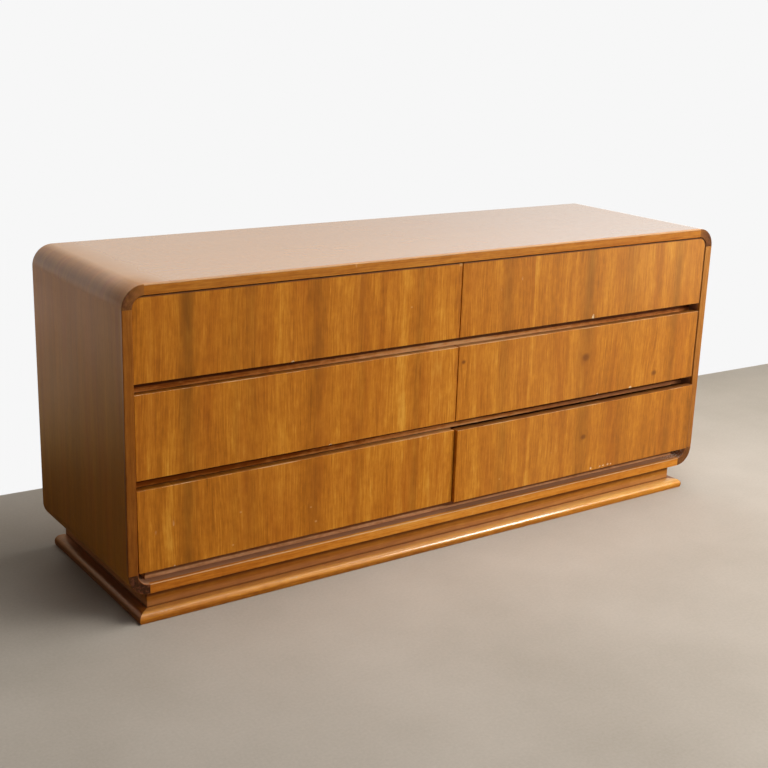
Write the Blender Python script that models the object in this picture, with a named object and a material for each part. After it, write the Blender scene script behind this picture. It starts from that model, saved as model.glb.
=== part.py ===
"""Low dresser: a round-cornered wooden case with six finger-pull drawers on a moulded base.

Metres, +Z up. The origin is on the floor under the middle of the case. The length runs
along X and the drawers open towards -Y.
"""

import math

import bmesh
import bpy
from mathutils import Vector

# The case and the base under it
CASE_WIDTH = 1.600
CASE_DEPTH = 0.468
CASE_HEIGHT = 0.629
BASE_HEIGHT = 0.065

# The band of boards and round corner pieces that goes round the case
BAND_THICKNESS = 0.021
CORNER_RADIUS = 0.046
LIPPING_DEPTH = 0.008

# The back panel, which lies in a rebate at the back of the band
BACK_THICKNESS = 0.006
BACK_INSET = 0.002
REBATE_WIDTH = 0.008

# The drawer fronts and the gaps round them
FRONT_THICKNESS = 0.020
FRONT_RECESS = 0.001
TOP_REVEAL = 0.002
SIDE_REVEAL = 0.0025
CENTRE_REVEAL = 0.0025
PULL_GAP = 0.021
CORNER_CLEARANCE = 0.001
TOP_FRONT_TRIM = 0.005
AJAR = 0.008

# The rails behind the finger gaps, and the upright partition that they cross
RAIL_SETBACK = 0.036
BOTTOM_RAIL_SETBACK = 0.026
RAIL_DEPTH = 0.045
RAIL_LAP_ABOVE = 0.002
RAIL_LAP_BELOW = 0.006
PARTITION_THICKNESS = 0.018

# The runner under the middle of each drawer
RUNNER_WIDTH = 0.024
RUNNER_RISE = 0.010
RUNNER_DROP = 0.016

# The drawer boxes
BOX_BOARD = 0.012
BOX_SIDE_CLEARANCE = 0.005
BOX_BACK_CLEARANCE = 0.012
BOX_DROP = 0.018
BOTTOM_THICKNESS = 0.005
BOTTOM_CLEARANCE = 0.002
GROOVE_DEPTH = 0.006

# The plinth and the moulding that goes round its foot
PLINTH_THICKNESS = 0.018
PLINTH_SIDE_INSET = 0.050
PLINTH_FRONT_INSET = 0.028
MOULDING_HEIGHT = 0.022
MOULDING_PROJECTION = 0.027
MOULDING_TOP_FLAT = 0.006
MOULDING_NOSE_HEIGHT = 0.009
MOULDING_FOOT_TUCK = 0.003

# Fits: glued joints and seats, the run of a drawer, and how far a cutter passes through a face
JOINT_GAP = 0.0003
RUN_CLEARANCE = 0.0005
CUT_OVERRUN = 0.005

# Steps in a quarter turn
CORNER_STEPS = 16
MOULDING_STEPS = 8

ROWS = ("top", "middle", "lower")
RAIL_NAMES = ("upper_rail", "lower_rail", "bottom_rail")
AJAR_DRAWER = "lower_right_drawer"

# Faces of the case, from the sizes above
FRONT_Y = -CASE_DEPTH / 2
BACK_Y = CASE_DEPTH / 2
CASE_TOP = BASE_HEIGHT + CASE_HEIGHT
OUTER_X = CASE_WIDTH / 2
INNER_X = OUTER_X - BAND_THICKNESS
INNER_BOTTOM = BASE_HEIGHT + BAND_THICKNESS
INNER_TOP = CASE_TOP - BAND_THICKNESS
INNER_RADIUS = CORNER_RADIUS - BAND_THICKNESS
BACK_FACE_Y = BACK_Y - BACK_INSET - BACK_THICKNESS

# The square lower corners of the lowest fronts clear the round inner corners of the case
BOTTOM_GAP = INNER_RADIUS + CORNER_CLEARANCE
FRONTS_TOTAL = INNER_TOP - INNER_BOTTOM - TOP_REVEAL - BOTTOM_GAP - PULL_GAP * (len(ROWS) - 1)
FRONT_HEIGHT = (FRONTS_TOTAL + TOP_FRONT_TRIM) / len(ROWS)
FRONT_FACE_Y = FRONT_Y + FRONT_RECESS
FRONT_BACK_Y = FRONT_FACE_Y + FRONT_THICKNESS
RAIL_FACE_Y = FRONT_Y + RAIL_SETBACK
RAIL_BACK_Y = RAIL_FACE_Y + RAIL_DEPTH


def srgb(red, green, blue):
    """A linear colour from the 0 to 255 values that a screen shows."""

    def linear(value):
        share = value / 255
        return share / 12.92 if share <= 0.04045 else ((share + 0.055) / 1.055) ** 2.4

    return (linear(red), linear(green), linear(blue), 1.0)


def wood(name, colour, roughness):
    """A plain finish for one kind of wood on the dresser."""
    finish = bpy.data.materials.new(name)
    finish.use_nodes = True
    shader = finish.node_tree.nodes["Principled BSDF"]
    shader.inputs["Base Color"].default_value = colour
    shader.inputs["Roughness"].default_value = roughness
    shader.inputs["Metallic"].default_value = 0.0
    return finish


def place(name, mesh_data, finish, parent=None):
    """A named object from a mesh drawn in the case's frame, with its origin at its own middle."""
    bmesh.ops.recalc_face_normals(mesh_data, faces=mesh_data.faces)
    low = Vector(min(vert.co[axis] for vert in mesh_data.verts) for axis in range(3))
    high = Vector(max(vert.co[axis] for vert in mesh_data.verts) for axis in range(3))
    middle = (low + high) / 2
    bmesh.ops.translate(mesh_data, verts=mesh_data.verts, vec=-middle)
    mesh = bpy.data.meshes.new(name)
    mesh_data.to_mesh(mesh)
    mesh_data.free()
    mesh.materials.append(finish)
    mesh.shade_smooth()
    mesh.set_sharp_from_angle(angle=math.radians(30))
    piece = bpy.data.objects.new(name, mesh)
    piece.location = middle
    if parent:
        piece.parent = parent
        piece.location = middle - parent.location
    bpy.context.scene.collection.objects.link(piece)
    return piece


def board(name, low, high, finish, parent=None):
    """A square board between its lowest and highest corners."""
    size = Vector(high) - Vector(low)
    middle = (Vector(high) + Vector(low)) / 2
    shape = bmesh.new()
    bmesh.ops.create_cube(shape, size=1)
    bmesh.ops.scale(shape, vec=size, verts=shape.verts)
    bmesh.ops.translate(shape, vec=middle, verts=shape.verts)
    return place(name, shape, finish, parent)


def sawn(name, outline, front, back, finish, parent=None):
    """A board sawn to an outline of (x, z) points, from its front face to its back face."""
    shape = bmesh.new()
    face = shape.faces.new([shape.verts.new((x, front, z)) for x, z in outline])
    grown = bmesh.ops.extrude_face_region(shape, geom=[face])
    moved = [item for item in grown["geom"] if isinstance(item, bmesh.types.BMVert)]
    bmesh.ops.translate(shape, verts=moved, vec=(0, back - front, 0))
    return place(name, shape, finish, parent)


def arc(centre, radii, start, end, steps):
    """Points along a round stretch of an outline, from one angle in degrees to another."""
    points = []
    for step in range(steps + 1):
        angle = math.radians(start + (end - start) * step / steps)
        points.append((centre[0] + radii[0] * math.cos(angle), centre[1] + radii[1] * math.sin(angle)))
    return points


def rounded_outline(left, bottom, right, top, radii):
    """A rectangle whose corners have their own radii: lower left, lower right, upper right, upper left."""
    corners = ((left, bottom, 180), (right, bottom, 270), (right, top, 0), (left, top, 90))
    points = []
    for (x, z, start), radius in zip(corners, radii):
        if radius == 0:
            points.append((x, z))
            continue
        centre_x = x + radius if x == left else x - radius
        centre_z = z + radius if z == bottom else z - radius
        points += arc((centre_x, centre_z), (radius, radius), start, start + 90, CORNER_STEPS)
    return points


def as_cutter(piece):
    """Mark a shape as one that only cuts others."""
    piece.hide_render = True
    piece.display_type = "WIRE"
    return piece


def room_for(name, low, high, clearance, finish, parent=None):
    """A cutter the size of a neighbouring board with a clearance all round it."""
    grow = Vector((clearance, clearance, clearance))
    return as_cutter(board(name, Vector(low) - grow, Vector(high) + grow, finish, parent))


def cut(piece, cutter):
    """Take a cutter's shape out of a piece."""
    modifier = piece.modifiers.new(cutter.name, "BOOLEAN")
    modifier.operation = "DIFFERENCE"
    modifier.solver = "EXACT"
    modifier.object = cutter


def make_band(finishes):
    """The top, bottom and side panels with their front lippings, and the four corner pieces."""
    run_x = OUTER_X - CORNER_RADIUS - JOINT_GAP
    run_low = BASE_HEIGHT + CORNER_RADIUS + JOINT_GAP
    run_high = CASE_TOP - CORNER_RADIUS - JOINT_GAP
    sections = {
        "top": (-run_x, INNER_TOP, run_x, CASE_TOP),
        "bottom": (-run_x, BASE_HEIGHT, run_x, INNER_BOTTOM),
        "left_side": (-OUTER_X, run_low, -INNER_X, run_high),
        "right_side": (INNER_X, run_low, OUTER_X, run_high),
    }
    band = []
    for name, (left, low, right, high) in sections.items():
        panel_front = FRONT_Y + LIPPING_DEPTH + JOINT_GAP
        panel = board(f"{name}_panel", (left, panel_front, low), (right, BACK_Y, high), finishes["veneer"])
        band.append(panel)
        lipping_back = FRONT_Y + LIPPING_DEPTH
        board(f"{name}_lipping", (left, FRONT_Y, low), (right, lipping_back, high), finishes["solid"])
    turns = {
        "top_left": (-1, 1, 90),
        "top_right": (1, 1, 0),
        "bottom_left": (-1, -1, 180),
        "bottom_right": (1, -1, 270),
    }
    for name, (side, level, start) in turns.items():
        centre_z = CASE_TOP - CORNER_RADIUS if level > 0 else BASE_HEIGHT + CORNER_RADIUS
        centre = (side * (OUTER_X - CORNER_RADIUS), centre_z)
        outer = arc(centre, (CORNER_RADIUS, CORNER_RADIUS), start, start + 90, CORNER_STEPS)
        inner = arc(centre, (INNER_RADIUS, INNER_RADIUS), start + 90, start, CORNER_STEPS)
        band.append(sawn(f"{name}_corner", outer + inner, FRONT_Y, BACK_Y, finishes["end_grain"]))
    return band


def make_back(finishes, band):
    """The thin back panel, and the rebate for it round the back of the band."""
    lap = REBATE_WIDTH - JOINT_GAP
    outline = rounded_outline(
        -INNER_X - lap, INNER_BOTTOM - lap, INNER_X + lap, INNER_TOP + lap, [INNER_RADIUS + lap] * 4
    )
    sawn("back_panel", outline, BACK_FACE_Y, BACK_FACE_Y + BACK_THICKNESS, finishes["board"])
    wide = REBATE_WIDTH
    opening = rounded_outline(
        -INNER_X - wide, INNER_BOTTOM - wide, INNER_X + wide, INNER_TOP + wide, [INNER_RADIUS + wide] * 4
    )
    rebate_front = BACK_FACE_Y - JOINT_GAP
    rebate = as_cutter(sawn("back_rebate", opening, rebate_front, BACK_Y + CUT_OVERRUN, finishes["board"]))
    for piece in band:
        cut(piece, rebate)


def front_levels():
    """The bottom and top of each row's fronts, from the top row down."""
    levels = []
    top = INNER_TOP - TOP_REVEAL
    for row in ROWS:
        height = FRONT_HEIGHT - TOP_FRONT_TRIM if row == ROWS[0] else FRONT_HEIGHT
        levels.append((top - height, top))
        top -= height + PULL_GAP
    return levels


def rail_levels(fronts):
    """The bottom and top of the rail under each row, which the fronts above and below it lap."""
    levels = []
    for index, (bottom, _) in enumerate(fronts):
        if index + 1 < len(fronts):
            low = fronts[index + 1][1] - RAIL_LAP_BELOW
        else:
            low = INNER_BOTTOM + JOINT_GAP
        levels.append((low, bottom + RAIL_LAP_ABOVE))
    return levels


def make_rails(finishes, rails):
    """The rails across the case, and the partition that is notched over them."""
    partition = board(
        "centre_partition",
        (-PARTITION_THICKNESS / 2, RAIL_FACE_Y, INNER_BOTTOM + JOINT_GAP),
        (PARTITION_THICKNESS / 2, BACK_FACE_Y - JOINT_GAP, INNER_TOP - JOINT_GAP),
        finishes["board"],
    )
    for name, (low, high) in zip(RAIL_NAMES, rails):
        end_x = INNER_X - JOINT_GAP
        face_y = RAIL_FACE_Y
        # The bottom rail stands further forward, on the flat between the round inner corners
        if name == RAIL_NAMES[-1]:
            end_x = INNER_X - INNER_RADIUS
            face_y = FRONT_Y + BOTTOM_RAIL_SETBACK
        rail_low = (-end_x, face_y, low)
        rail_high = (end_x, RAIL_BACK_Y, high)
        board(name, rail_low, rail_high, finishes["solid"])
        cut(partition, room_for(f"{name}_notch", rail_low, rail_high, JOINT_GAP, finishes["solid"]))


def make_drawer(name, column, front, rail_top, finishes):
    """One runner with the drawer that rides on it; column is -1 on the left and 1 on the right."""
    front_low, front_high = front
    outer_x = column * (INNER_X - SIDE_REVEAL)
    middle_x = column * CENTRE_REVEAL / 2
    left, right = sorted((outer_x, middle_x))
    box_edges = (column * (PARTITION_THICKNESS / 2 + BOX_SIDE_CLEARANCE), column * (INNER_X - BOX_SIDE_CLEARANCE))
    box_left, box_right = sorted(box_edges)
    box_centre = (box_left + box_right) / 2

    # The runner spans from the rail to the back panel
    runner_low = (box_centre - RUNNER_WIDTH / 2, RAIL_BACK_Y + JOINT_GAP, rail_top - RUNNER_DROP)
    runner_high = (box_centre + RUNNER_WIDTH / 2, BACK_FACE_Y - JOINT_GAP, rail_top + RUNNER_RISE)
    board(name.replace("drawer", "runner"), runner_low, runner_high, finishes["box"])

    # The slide axis runs through the middle of the front
    axis = bpy.data.objects.new(name, None)
    axis.location = ((left + right) / 2, FRONT_FACE_Y, (front_low + front_high) / 2)
    bpy.context.scene.collection.objects.link(axis)

    # Only the outer top corner of a top front is round, inside the round corner of the case
    round_corner = INNER_RADIUS - max(SIDE_REVEAL, TOP_REVEAL) if name.startswith(ROWS[0]) else 0
    upper_right, upper_left = (0, round_corner) if column < 0 else (round_corner, 0)
    outline = rounded_outline(left, front_low, right, front_high, (0, 0, upper_right, upper_left))
    face = sawn(f"{name}_front", outline, FRONT_FACE_Y, FRONT_BACK_Y, finishes["front"], axis)

    box_front = FRONT_BACK_Y + JOINT_GAP
    box_back = BACK_FACE_Y - BOX_BACK_CLEARANCE
    box_low = rail_top + JOINT_GAP
    box_high = front_high - BOX_DROP
    left_side = board(
        f"{name}_left_side",
        (box_left, box_front, box_low),
        (box_left + BOX_BOARD, box_back, box_high),
        finishes["box"],
        axis,
    )
    right_side = board(
        f"{name}_right_side",
        (box_right - BOX_BOARD, box_front, box_low),
        (box_right, box_back, box_high),
        finishes["box"],
        axis,
    )

    # The back stands between the sides and is notched over the runner
    inner_left = box_left + BOX_BOARD + JOINT_GAP
    inner_right = box_right - BOX_BOARD - JOINT_GAP
    back_front = box_back - BOX_BOARD
    back = board(
        f"{name}_back",
        (inner_left, back_front, box_low),
        (inner_right, box_back, box_high),
        finishes["box"],
        axis,
    )
    cut(back, room_for(f"{name}_runner_notch", runner_low, runner_high, RUN_CLEARANCE, finishes["box"], axis))

    # The bottom panel is let into the front and both sides, clear of the runner
    groove = GROOVE_DEPTH - JOINT_GAP
    panel_z = rail_top + RUNNER_RISE + BOTTOM_CLEARANCE
    panel_low = (box_left + BOX_BOARD - groove, FRONT_BACK_Y - groove, panel_z)
    panel_high = (box_right - BOX_BOARD + groove, back_front - JOINT_GAP, panel_z + BOTTOM_THICKNESS)
    board(f"{name}_bottom", panel_low, panel_high, finishes["board"], axis)
    grooves = room_for(f"{name}_bottom_groove", panel_low, panel_high, JOINT_GAP, finishes["board"], axis)
    for piece in (face, left_side, right_side):
        cut(piece, grooves)

    # One drawer stands a little open
    if name == AJAR_DRAWER:
        axis.location.y -= AJAR


def make_drawers(finishes, fronts, rails):
    """The six drawers, row by row."""
    for row, front, (_, rail_top) in zip(ROWS, fronts, rails):
        for side, column in (("left", -1), ("right", 1)):
            make_drawer(f"{row}_{side}_drawer", column, front, rail_top, finishes)


def moulding_profile():
    """The moulding's section as (out, up) points, out from the face of the plinth."""
    nose = MOULDING_NOSE_HEIGHT
    crown_centre = (MOULDING_TOP_FLAT, nose)
    crown_radii = (MOULDING_PROJECTION - MOULDING_TOP_FLAT, MOULDING_HEIGHT - nose)
    foot_centre = (MOULDING_PROJECTION - MOULDING_FOOT_TUCK, nose)
    points = [(JOINT_GAP, 0), (JOINT_GAP, MOULDING_HEIGHT)]
    points += arc(crown_centre, crown_radii, 90, 0, MOULDING_STEPS)
    points += arc(foot_centre, (MOULDING_FOOT_TUCK, nose), 0, -90, MOULDING_STEPS)[1:]
    return points


def moulding(name, start_ring, end_ring, finish):
    """One length of moulding between the rings of points at its two ends."""
    shape = bmesh.new()
    starts = [shape.verts.new(point) for point in start_ring]
    ends = [shape.verts.new(point) for point in end_ring]
    shape.faces.new(starts)
    shape.faces.new(ends)
    for index in range(len(starts)):
        after = (index + 1) % len(starts)
        shape.faces.new((starts[index], starts[after], ends[after], ends[index]))
    return place(name, shape, finish)


def make_base(finishes):
    """The plinth under the case, and the mitred moulding round its front and sides."""
    plinth_x = OUTER_X - PLINTH_SIDE_INSET
    plinth_y = FRONT_Y + PLINTH_FRONT_INSET
    top = BASE_HEIGHT - JOINT_GAP
    inner_x = plinth_x - PLINTH_THICKNESS
    behind_front = plinth_y + PLINTH_THICKNESS
    finish = finishes["solid"]
    board("plinth_front", (-plinth_x, plinth_y, 0), (plinth_x, behind_front, top), finish)
    for side, left, right in (("left", -plinth_x, -inner_x), ("right", inner_x, plinth_x)):
        board(f"plinth_{side}", (left, behind_front + JOINT_GAP, 0), (right, BACK_Y, top), finish)
    clear_x = inner_x - JOINT_GAP
    board("plinth_back", (-clear_x, BACK_Y - PLINTH_THICKNESS, 0), (clear_x, BACK_Y, top), finishes["board"])

    profile = moulding_profile()
    mitre_x = plinth_x - JOINT_GAP
    left_end = [(-mitre_x - out, plinth_y - out, up) for out, up in profile]
    right_end = [(mitre_x + out, plinth_y - out, up) for out, up in profile]
    moulding("base_moulding_front", left_end, right_end, finish)
    for side, sign in (("left", -1), ("right", 1)):
        mitred = [(sign * (plinth_x + out), plinth_y - out, up) for out, up in profile]
        square = [(sign * (plinth_x + out), BACK_Y, up) for out, up in profile]
        moulding(f"base_moulding_{side}", mitred, square, finish)


def main():
    for old in list(bpy.data.objects):
        bpy.data.objects.remove(old, do_unlink=True)
    finishes = {
        "veneer": wood("case_veneer", srgb(150, 94, 48), 0.35),
        "solid": wood("solid_edging", srgb(158, 88, 32), 0.35),
        "end_grain": wood("corner_end_grain", srgb(88, 52, 28), 0.4),
        "front": wood("front_veneer", srgb(178, 112, 42), 0.35),
        "box": wood("drawer_box_wood", srgb(196, 164, 118), 0.6),
        "board": wood("inner_board", srgb(140, 104, 70), 0.7),
    }
    fronts = front_levels()
    rails = rail_levels(fronts)
    band = make_band(finishes)
    make_back(finishes, band)
    make_rails(finishes, rails)
    make_drawers(finishes, fronts, rails)
    make_base(finishes)


main()
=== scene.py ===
"""Looks of the low dresser: its veneers, solid edgings, wear and light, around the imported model."""

import math
import random

import bmesh
import bpy
from mathutils import Matrix, Vector


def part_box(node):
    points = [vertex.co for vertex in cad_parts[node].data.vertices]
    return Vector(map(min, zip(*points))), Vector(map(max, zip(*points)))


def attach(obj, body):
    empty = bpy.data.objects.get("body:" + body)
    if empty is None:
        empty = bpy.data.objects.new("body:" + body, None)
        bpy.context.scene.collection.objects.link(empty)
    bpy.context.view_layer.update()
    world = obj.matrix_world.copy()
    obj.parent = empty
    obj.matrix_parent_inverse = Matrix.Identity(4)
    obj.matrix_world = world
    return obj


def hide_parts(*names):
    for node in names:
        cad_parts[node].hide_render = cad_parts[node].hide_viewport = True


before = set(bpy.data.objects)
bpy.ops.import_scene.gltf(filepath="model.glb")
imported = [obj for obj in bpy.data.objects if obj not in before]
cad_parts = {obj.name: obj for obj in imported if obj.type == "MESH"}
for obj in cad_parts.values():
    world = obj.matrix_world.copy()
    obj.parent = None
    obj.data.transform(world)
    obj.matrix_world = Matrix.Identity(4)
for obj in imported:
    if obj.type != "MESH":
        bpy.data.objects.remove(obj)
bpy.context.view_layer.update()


def srgb(red, green, blue):
    """A linear colour from the 0 to 255 values that a screen shows."""

    def linear(value):
        share = value / 255
        return share / 12.92 if share <= 0.04045 else ((share + 0.055) / 1.055) ** 2.4

    return (linear(red), linear(green), linear(blue), 1.0)


# The camera, solved from the straight edges of the case
CAMERA_PLACE = Vector((-1.725, -2.396, 1.199))
CAMERA_AZIMUTH = math.radians(-35.16)
CAMERA_ELEVATION = math.radians(16.34)
CAMERA_ROLL = math.radians(1.91)
CAMERA_LENS = 60.0
CAMERA_SENSOR = 36.0

# The stage: a floor, and a white wall that only the camera and reflections see
FLOOR_HALF = 9.0
FLOOR_NEAR = 3.0
FLOOR_FAR = 6.5
FLOOR_TONES = ((0.30, srgb(172, 162, 148)), (0.70, srgb(197, 187, 174)))
FLOOR_GLOW = (0.46, 0.42, 0.37, 1.0)
BLACK = (0.0, 0.0, 0.0, 1.0)
WALL_PLACE = (0.0, 0.565, 0.0)
WALL_TURN = math.radians(-2.0)
WALL_HALF = 7.0
WALL_HEIGHT = 5.0
WALL_GLOW = 3.0
WHITE = 0.93
AMBIENT = 0.04
AMBIENT_TINT = (1.0, 0.985, 0.96, 1.0)
ROOM = (0.30, 0.27, 0.24, 1.0)
ROOM_BELOW = (0.04, 0.03, 0.02, 1.0)

# What reflections see of the wall: height above the floor, and its shade there
WALL_SHADES = (
    (0.03, (0.01, 0.01, 0.01, 1.0)),
    (0.12, (0.26, 0.21, 0.10, 1.0)),
    (0.24, (0.48, 0.40, 0.29, 1.0)),
    (0.36, (0.56, 0.48, 0.37, 1.0)),
    (0.46, (0.82, 0.67, 0.56, 1.0)),
    (0.58, (0.68, 0.57, 0.49, 1.0)),
    (0.72, (0.25, 0.24, 0.23, 1.0)),
    (1.00, (0.27, 0.27, 0.27, 1.0)),
    (1.18, (0.73, 0.72, 0.70, 1.0)),
)
SHADES_TOP = 2.0

# Lamps: place, width, height, watts, and whether reflections show it; all face the middle of the dresser
LAMPS = {
    "window": ((2.28, -2.30, 1.40), 1.2, 1.2, 60.0, True),
    "front_softbox": ((0.60, -4.20, 2.20), 3.2, 1.2, 27.0, True),
    "overhead_softbox": ((0.90, -0.80, 3.60), 3.0, 2.0, 101.0, True),
    "rear_overhead": ((1.60, 1.20, 3.20), 2.4, 1.6, 6.0, False),
    "back_softbox": ((0.30, 4.00, 2.60), 3.2, 1.6, 32.0, False),
}
LAMP_TARGET = (0.10, -0.20, 0.30)

# Edges: the radius that each is eased to, how far wear creeps in from it, and the turn that stays sharp
FRONT_EASE = 0.0008
BAND_OUTER_EASE = 0.0016
BAND_INNER_EASE = 0.0010
BOARD_EASE = 0.0010
INSIDE_EASE = 0.0007
WEAR_REACH = 0.0030
EASE_STEPS = 4
SHARP_TURN = math.radians(40)

# Corners of outlines: the square ones, the least radius, and the radius from which a corner is drawn finely
SQUARE_CORNER = 0.0008
LEAST_CORNER = 0.0001
ROUND_CORNER = 0.005
CORNER_STEPS = 28
SQUARE_STEPS = 2

# How much each edge is rubbed, where 1 is the most
TOP_ROW_RUB = 0.2
FOOT_RUB = 0.7
UPRIGHT_RUB = 0.55

# The rebate of the band for the back panel
REBATE_WIDTH = 0.008
REBATE_DEPTH = 0.0083

# Corner blocks: the angle where each starts, and how rubbed its outer and its inner front edges are
CORNERS = {
    "top_left_corner": (180, 1.0, 0.35),
    "top_right_corner": (90, 1.0, 0.35),
    "bottom_left_corner": (-90, 0.8, 1.0),
    "bottom_right_corner": (0, 0.8, 1.0),
}

# How far a face of a corner block is turned to the front or the back if it shows end grain
END_FACING = 0.4

# The section of the base moulding
MOULDING_TOP_FLAT = 0.013
MOULDING_NOSE_HEIGHT = 0.0095
MOULDING_FOOT_TUCK = 0.003
MOULDING_STEPS = 14
MOULDING_GROOVE = 0.0014
JOINT_GAP = 0.0003

ROWS = ("top", "middle", "lower")
SIDES = ("left", "right")

# How far the left fronts reach into the reveal, at the top and at the foot: the lower one is askew
LEFT_REACH = {"top": (0.0022, 0.0022), "middle": (0.0022, 0.0015), "lower": (0.0019, 0.0)}

# Streaks of the front veneer: place across the dresser, half width, and how dark (or light, below 0)
STREAKS = (
    (-0.748, 0.009, -0.60),
    (-0.712, 0.011, -0.65),
    (-0.667, 0.015, 1.30),
    (-0.600, 0.014, -0.40),
    (-0.563, 0.010, 0.40),
    (-0.525, 0.016, 0.50),
    (-0.455, 0.014, -0.45),
    (-0.373, 0.016, 0.75),
    (-0.318, 0.014, -0.75),
    (-0.262, 0.010, 0.45),
    (-0.230, 0.010, -0.30),
    (-0.155, 0.011, -0.80),
    (-0.113, 0.011, 0.75),
    (-0.045, 0.030, -0.40),
    (0.045, 0.026, -0.45),
    (0.134, 0.014, 0.65),
    (0.175, 0.010, -0.30),
    (0.216, 0.006, -0.85),
    (0.307, 0.008, -0.75),
    (0.340, 0.009, -0.60),
    (0.388, 0.017, 0.90),
    (0.450, 0.026, -0.40),
    (0.527, 0.018, 0.35),
    (0.648, 0.015, -0.50),
    (0.690, 0.013, 0.75),
    (0.737, 0.010, -0.30),
)

# Knots and pale specks of the front veneer: place across, height, radius
KNOTS = ((0.392, 0.407, 0.0100), (0.633, 0.336, 0.0070), (0.396, 0.206, 0.0070), (0.015, 0.444, 0.0045))
SPECKS = (
    (-0.076, 0.279, 0.0026),
    (0.134, 0.145, 0.0018),
    (-0.381, 0.175, 0.0018),
    (-0.550, 0.198, 0.0022),
    (-0.568, 0.129, 0.0020),
    (-0.368, 0.140, 0.0024),
    (-0.135, 0.586, 0.0018),
    (-0.006, 0.668, 0.0036),
)

# Chips out of the lower edges of the fronts: drawer, place across, height above the edge, width, height
CHIPS = (
    ("top_right_drawer", 0.405, 0.0, 0.0080, 0.0120),
    ("middle_right_drawer", 0.552, 0.0, 0.0110, 0.0062),
    ("middle_right_drawer", 0.440, 0.0, 0.0060, 0.0036),
    ("middle_left_drawer", -0.335, 0.0, 0.0080, 0.0036),
    ("lower_right_drawer", 0.430, 0.0065, 0.0062, 0.0034),
    ("lower_right_drawer", 0.461, 0.0062, 0.0050, 0.0024),
    ("lower_right_drawer", 0.473, 0.0066, 0.0056, 0.0027),
    ("lower_right_drawer", 0.488, 0.0070, 0.0064, 0.0034),
    ("lower_right_drawer", 0.499, 0.0062, 0.0046, 0.0024),
    ("lower_left_drawer", -0.700, 0.0, 0.0055, 0.0034),
    ("top_left_drawer", -0.430, 0.0, 0.0090, 0.0030),
)
CHIP_DEPTH = 0.0015
CHIP_ROUGHNESS = (0.72, 1.12)
CHIP_WEAR = 0.7

# The tones of each wood from dark to light, as a screen shows them
VENEER = ((108, 62, 10), (142, 86, 13), (166, 104, 18), (188, 124, 30), (204, 146, 52))
FRONT = ((128, 75, 14), (164, 95, 18), (190, 113, 24), (210, 135, 36), (226, 161, 58))
PLINTH = ((100, 50, 10), (134, 73, 15), (162, 95, 22), (184, 117, 36), (204, 142, 58))
MOULDING = ((134, 70, 12), (176, 104, 24), (208, 132, 38), (230, 158, 58), (244, 186, 88))
LONG_LIP = ((112, 58, 12), (148, 82, 17), (180, 107, 27), (203, 132, 43), (220, 160, 74))
LOW_LIP = ((114, 56, 9), (152, 80, 13), (186, 104, 22), (212, 130, 36), (228, 156, 62))
# The right upright lipping's lighter tones are painted light; the darker tones of the left upright and the
# side mouldings are painted shade
LIT_RIGHT_LIP = ((94, 51, 16), (132, 77, 25), (164, 100, 38), (188, 124, 54), (208, 150, 80))
SHADED_EDGING = ((76, 37, 5), (108, 56, 7), (136, 74, 12), (160, 94, 24), (182, 120, 48))
RAIL = ((150, 72, 14), (200, 116, 48), (236, 154, 84), (250, 186, 124))
BOTTOM_RAIL = ((150, 94, 56), (194, 134, 86), (222, 166, 118), (242, 198, 154))
BOX = ((150, 116, 74), (186, 150, 102), (204, 172, 126), (222, 196, 154))
INNER = ((74, 44, 22), (100, 62, 34), (118, 76, 44), (140, 96, 60))

# Lippings: tones, wear, lightness at the start and at a reach from it, a painted light that grows to the
# right and upwards, and rub of the outer and inner edges
LIPPINGS = {
    "top": (LONG_LIP, 0.9, (0.47, 0.58, 1.4), (1.0, 0.35)),
    "bottom": (LOW_LIP, 0.9, (0.49, 0.73, 0.75), (0.35, 1.0)),
    "left_side": (SHADED_EDGING, 0.5, (0.49, 0.60, 0.5), (0.5, 0.5)),
    "right_side": (LIT_RIGHT_LIP, 0.5, (0.48, 0.60, 0.5), (0.5, 0.5)),
}

# Redder tones, and those of sawn and of bare wood
BLUSH = (170, 86, 20)
RAIL_BLUSH = (150, 58, 26)
END_TONES = (
    (0.25, srgb(50, 26, 11)),
    (0.45, srgb(86, 48, 20)),
    (0.60, srgb(120, 74, 32)),
    (0.78, srgb(158, 104, 52)),
)
BARE_TONES = ((0.30, srgb(206, 158, 106)), (0.62, srgb(238, 208, 162)))

# What bleaching, dust, soil and use leave on the woods, and the painted light, shade, sheen and reflections
# laid on them
BLEACH_AND_SHEEN_TONES = (srgb(208, 147, 66), srgb(146, 103, 50))
FRONT_PAINTED_SHEEN = srgb(222, 180, 124)
DARK_STREAK = srgb(134, 80, 18)
KNOT_HEART = srgb(108, 54, 14)
SPECK_LIGHT = srgb(220, 172, 106)
END_BLUSH = srgb(146, 84, 58)
END_GOLD = srgb(170, 106, 42)
END_RUBBED = srgb(196, 116, 62)
RUBBED = (srgb(186, 128, 76), srgb(228, 192, 146))
SCRATCHED = srgb(226, 190, 140)
DENTED = srgb(92, 54, 26)
SCUFFED = srgb(236, 220, 200)
FRONT_DUST_AND_LIGHT = srgb(226, 178, 128)
RAIL_DUST_AND_SHEEN = srgb(200, 150, 108)
PLINTH_DUST_AND_REFLECTION = srgb(214, 150, 108)
MOULDING_DUST_AND_SHEEN = srgb(232, 178, 128)
INSIDE_DUST_AND_REFLECTION = srgb(178, 134, 104)
FRONT_SOIL_AND_SHADE = srgb(104, 62, 36)
RAIL_PAINTED_SHADE = srgb(74, 33, 7)
BOTTOM_RAIL_PAINTED_SHADE = srgb(94, 44, 8)
PLINTH_PAINTED_SHADE = srgb(74, 34, 8)


# Shading


def reckon(operation):
    """A way to reckon a Field with a number or another Field."""
    return lambda first, second: first.shading.math(operation, first, second)


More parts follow.
